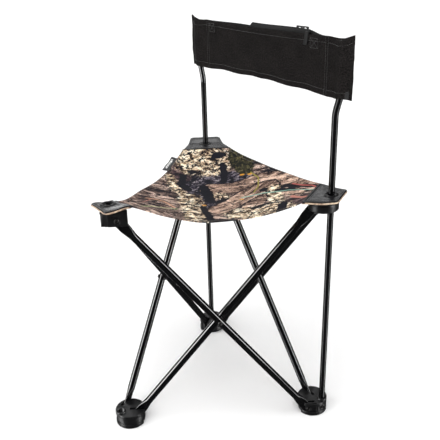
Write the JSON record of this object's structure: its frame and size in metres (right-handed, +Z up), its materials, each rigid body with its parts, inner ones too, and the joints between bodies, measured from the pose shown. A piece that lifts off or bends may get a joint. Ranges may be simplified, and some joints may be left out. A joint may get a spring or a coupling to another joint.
{
  "type": "folding tripod stool with back",
  "caption": "Folding tripod stool with scissor tube legs, a slung triangular camouflage seat and a fabric back band on two rear posts.",
  "frame": {"origin": "on the floor, under the middle of the bounding box", "axes": "+Z up; the sitter faces -Y, towards the single front leg; +X to the sitter's left"},
  "size_m": [0.494, 0.4132, 0.769],
  "materials": {
    "black_steel": "gloss black powder coat",
    "black_plastic": "black moulded nylon, satin",
    "zinc_steel": "zinc plated",
    "nylon": "dark nylon washer",
    "back_fabric": "charcoal woven polyester",
    "webbing": "black webbing",
    "camo_canvas": "brown bark and leaf camouflage print",
    "patch_vinyl": "black coated reinforcement with a slight sheen"
  },
  "bodies": {
    "left_foot_and_post": {"foot_left": "black_plastic", "foot_pin_left_outer": "zinc_steel", "foot_pin_left_inner": "zinc_steel", "post_screw_left": "zinc_steel", "back_post_left": "black_steel", "post_cap_left": "black_plastic", "back_sleeve_left": "back_fabric"},
    "right_foot_and_post": {"foot_right": "black_plastic", "foot_pin_right_outer": "zinc_steel", "foot_pin_right_inner": "zinc_steel", "post_screw_right": "zinc_steel", "back_post_right": "black_steel", "post_cap_right": "black_plastic", "back_sleeve_right": "back_fabric"},
    "front_foot": {"foot_front": "black_plastic", "foot_pin_front_outer": "zinc_steel", "foot_pin_front_inner": "zinc_steel"},
    "front_hub": {"hub_front": "black_plastic", "hub_pin_front_outer": "zinc_steel", "hub_pin_front_inner": "zinc_steel", "seat_patch_front": "patch_vinyl", "grommet_front": "black_plastic"},
    "right_hub": {"hub_right": "black_plastic", "hub_pin_right_outer": "zinc_steel", "hub_pin_right_inner": "zinc_steel", "seat_patch_right": "patch_vinyl", "grommet_right": "black_plastic"},
    "left_hub": {"hub_left": "black_plastic", "hub_pin_left_outer": "zinc_steel", "hub_pin_left_inner": "zinc_steel", "seat_patch_left": "patch_vinyl", "grommet_left": "black_plastic"},
    "tube_front_hub_to_right_foot": {"tube_front_hub_to_right_foot": "black_steel", "rivet_front_right": "zinc_steel"},
    "tube_right_hub_to_front_foot": {"tube_right_hub_to_front_foot": "black_steel", "washer_front_right": "nylon"},
    "tube_right_hub_to_left_foot": {"tube_right_hub_to_left_foot": "black_steel", "rivet_right_left": "zinc_steel"},
    "tube_left_hub_to_right_foot": {"tube_left_hub_to_right_foot": "black_steel", "washer_right_left": "nylon"},
    "tube_left_hub_to_front_foot": {"tube_left_hub_to_front_foot": "black_steel", "rivet_left_front": "zinc_steel"},
    "tube_front_hub_to_left_foot": {"tube_front_hub_to_left_foot": "black_steel", "washer_left_front": "nylon"},
    "seat_front_toward_right": {"seat_front_toward_right": "camo_canvas"},
    "seat_front_toward_left": {"seat_front_toward_left": "camo_canvas"},
    "seat_right_toward_left": {"seat_right_toward_left": "camo_canvas"},
    "seat_right_toward_front": {"seat_right_toward_front": "camo_canvas"},
    "seat_left_toward_front": {"seat_left_toward_front": "camo_canvas", "seat_tag": "webbing"},
    "seat_left_toward_right": {"seat_left_toward_right": "camo_canvas"},
    "back_panel_left": {"back_panel_left": "back_fabric", "carry_strap_left": "webbing"},
    "back_panel_right": {"back_panel_right": "back_fabric", "carry_strap_right": "webbing", "strap_buckle": "black_plastic"}
  },
  "joints": [
    {"name": "fold", "type": "hinge", "parent": "left_foot_and_post", "child": "tube_front_hub_to_left_foot", "pos_m": [-0.18904, 0.14471, 0.0145], "axis": [-0.866, -0.5, 0], "range_deg": [0, 29.5]},
    {"name": "right_left_outer_tube_swing", "type": "hinge", "parent": "left_foot_and_post", "child": "tube_right_hub_to_left_foot", "pos_m": [-0.1799, 0.17753, 0.0145], "axis": [0, 1, 0], "range_deg": [-29.5, 0]},
    {"name": "left_front_crossing", "type": "hinge", "parent": "tube_front_hub_to_left_foot", "child": "tube_left_hub_to_front_foot", "pos_m": [-0.10645, -0.01534, 0.23953], "axis": [-0.866, -0.5, 0], "range_deg": [-59, 0]},
    {"name": "right_left_crossing", "type": "hinge", "parent": "tube_right_hub_to_left_foot", "child": "tube_left_hub_to_right_foot", "pos_m": [0, 0.16903, 0.23953], "axis": [0, 1, 0], "range_deg": [0, 59]},
    {"name": "front_hub_level", "type": "hinge", "parent": "tube_front_hub_to_left_foot", "child": "front_hub", "pos_m": [-0.00914, -0.16689, 0.46456], "axis": [-0.866, -0.5, 0], "range_deg": [-29.5, 0]},
    {"name": "right_hub_level", "type": "hinge", "parent": "tube_right_hub_to_left_foot", "child": "right_hub", "pos_m": [0.1799, 0.17753, 0.46456], "axis": [0, 1, 0], "range_deg": [0, 29.5]},
    {"name": "left_hub_level", "type": "hinge", "parent": "tube_left_hub_to_front_foot", "child": "left_hub", "pos_m": [-0.20376, 0.13621, 0.46456], "axis": [-0.866, -0.5, 0], "range_deg": [0, 29.5]},
    {"name": "front_foot_level", "type": "hinge", "parent": "tube_left_hub_to_front_foot", "child": "front_foot", "pos_m": [-0.02386, -0.17539, 0.0145], "axis": [-0.866, -0.5, 0], "range_deg": [0, 29.5]},
    {"name": "right_foot_level", "type": "hinge", "parent": "tube_left_hub_to_right_foot", "child": "right_foot_and_post", "pos_m": [0.1799, 0.16054, 0.0145], "axis": [0, 1, 0], "range_deg": [-29.5, 0]},
    {"name": "front_right_outer_tube_swing", "type": "hinge", "parent": "right_foot_and_post", "child": "tube_front_hub_to_right_foot", "pos_m": [0.20376, 0.13621, 0.0145], "axis": [0.866, -0.5, 0], "range_deg": [-29.5, 0]},
    {"name": "front_right_inner_tube_swing", "type": "hinge", "parent": "front_foot", "child": "tube_right_hub_to_front_foot", "pos_m": [0.00914, -0.16689, 0.0145], "axis": [0.866, -0.5, 0], "range_deg": [0, 29.5]},
    {"name": "seat_front_toward_right_hang", "type": "hinge", "parent": "front_hub", "child": "seat_front_toward_right", "pos_m": [0, -0.15721, 0.48636], "axis": [-0.9177, 0.2867, -0.275], "range_deg": [0, 69.9], "deforming": ["seat_front_toward_right"]},
    {"name": "seat_front_toward_left_hang", "type": "hinge", "parent": "front_hub", "child": "seat_front_toward_left", "pos_m": [0, -0.15721, 0.48636], "axis": [-0.9177, -0.2867, 0.275], "range_deg": [0, 69.9], "deforming": ["seat_front_toward_left"]},
    {"name": "seat_right_toward_left_hang", "type": "hinge", "parent": "right_hub", "child": "seat_right_toward_left", "pos_m": [0.17609, 0.14778, 0.48636], "axis": [0.2106, -0.9381, -0.275], "range_deg": [0, 69.9], "deforming": ["seat_right_toward_left"]},
    {"name": "seat_right_toward_front_hang", "type": "hinge", "parent": "right_hub", "child": "seat_right_toward_front", "pos_m": [0.17609, 0.14778, 0.48636], "axis": [0.7072, -0.6514, 0.275], "range_deg": [0, 69.9], "deforming": ["seat_right_toward_front"]},
    {"name": "seat_left_toward_front_hang", "type": "hinge", "parent": "left_hub", "child": "seat_left_toward_front", "pos_m": [-0.17609, 0.14778, 0.48636], "axis": [0.7072, 0.6514, -0.275], "range_deg": [0, 69.9], "deforming": ["seat_left_toward_front", "seat_tag"]},
    {"name": "seat_left_toward_right_hang", "type": "hinge", "parent": "left_hub", "child": "seat_left_toward_right", "pos_m": [-0.17609, 0.14778, 0.48636], "axis": [0.2106, 0.9381, 0.275], "range_deg": [0, 69.9], "deforming": ["seat_left_toward_right"]},
    {"name": "back_panel_left_fold", "type": "hinge", "parent": "left_foot_and_post", "child": "back_panel_left", "pos_m": [-0.184, 0.16748, 0.7165], "axis": [0, 0, 1], "range_deg": [-74.28, 0], "deforming": ["back_panel_left", "carry_strap_left"]},
    {"name": "back_panel_right_fold", "type": "hinge", "parent": "right_foot_and_post", "child": "back_panel_right", "pos_m": [0.184, 0.16748, 0.7165], "axis": [0, 0, 1], "range_deg": [0, 74.28], "deforming": ["back_panel_right", "carry_strap_right", "strap_buckle"]}
  ],
  "couplings": [
    {"joint": "right_left_outer_tube_swing", "follows": "fold", "ratio": -1},
    {"joint": "left_front_crossing", "follows": "fold", "ratio": -2},
    {"joint": "right_left_crossing", "follows": "fold", "ratio": 2},
    {"joint": "front_hub_level", "follows": "fold", "ratio": -1},
    {"joint": "right_hub_level", "follows": "fold", "ratio": 1},
    {"joint": "left_hub_level", "follows": "fold", "ratio": 1},
    {"joint": "front_foot_level", "follows": "fold", "ratio": 1},
    {"joint": "right_foot_level", "follows": "fold", "ratio": -1},
    {"joint": "front_right_outer_tube_swing", "follows": "fold", "ratio": -1},
    {"joint": "front_right_inner_tube_swing", "follows": "fold", "ratio": 1},
    {"joint": "seat_front_toward_right_hang", "follows": "fold", "ratio": 2.3695},
    {"joint": "seat_front_toward_left_hang", "follows": "fold", "ratio": 2.3695},
    {"joint": "seat_right_toward_left_hang", "follows": "fold", "ratio": 2.3695},
    {"joint": "seat_right_toward_front_hang", "follows": "fold", "ratio": 2.3695},
    {"joint": "seat_left_toward_front_hang", "follows": "fold", "ratio": 2.3695},
    {"joint": "seat_left_toward_right_hang", "follows": "fold", "ratio": 2.3695},
    {"joint": "back_panel_left_fold", "follows": "fold", "ratio": -2.5178},
    {"joint": "back_panel_right_fold", "follows": "fold", "ratio": 2.5178}
  ]
}
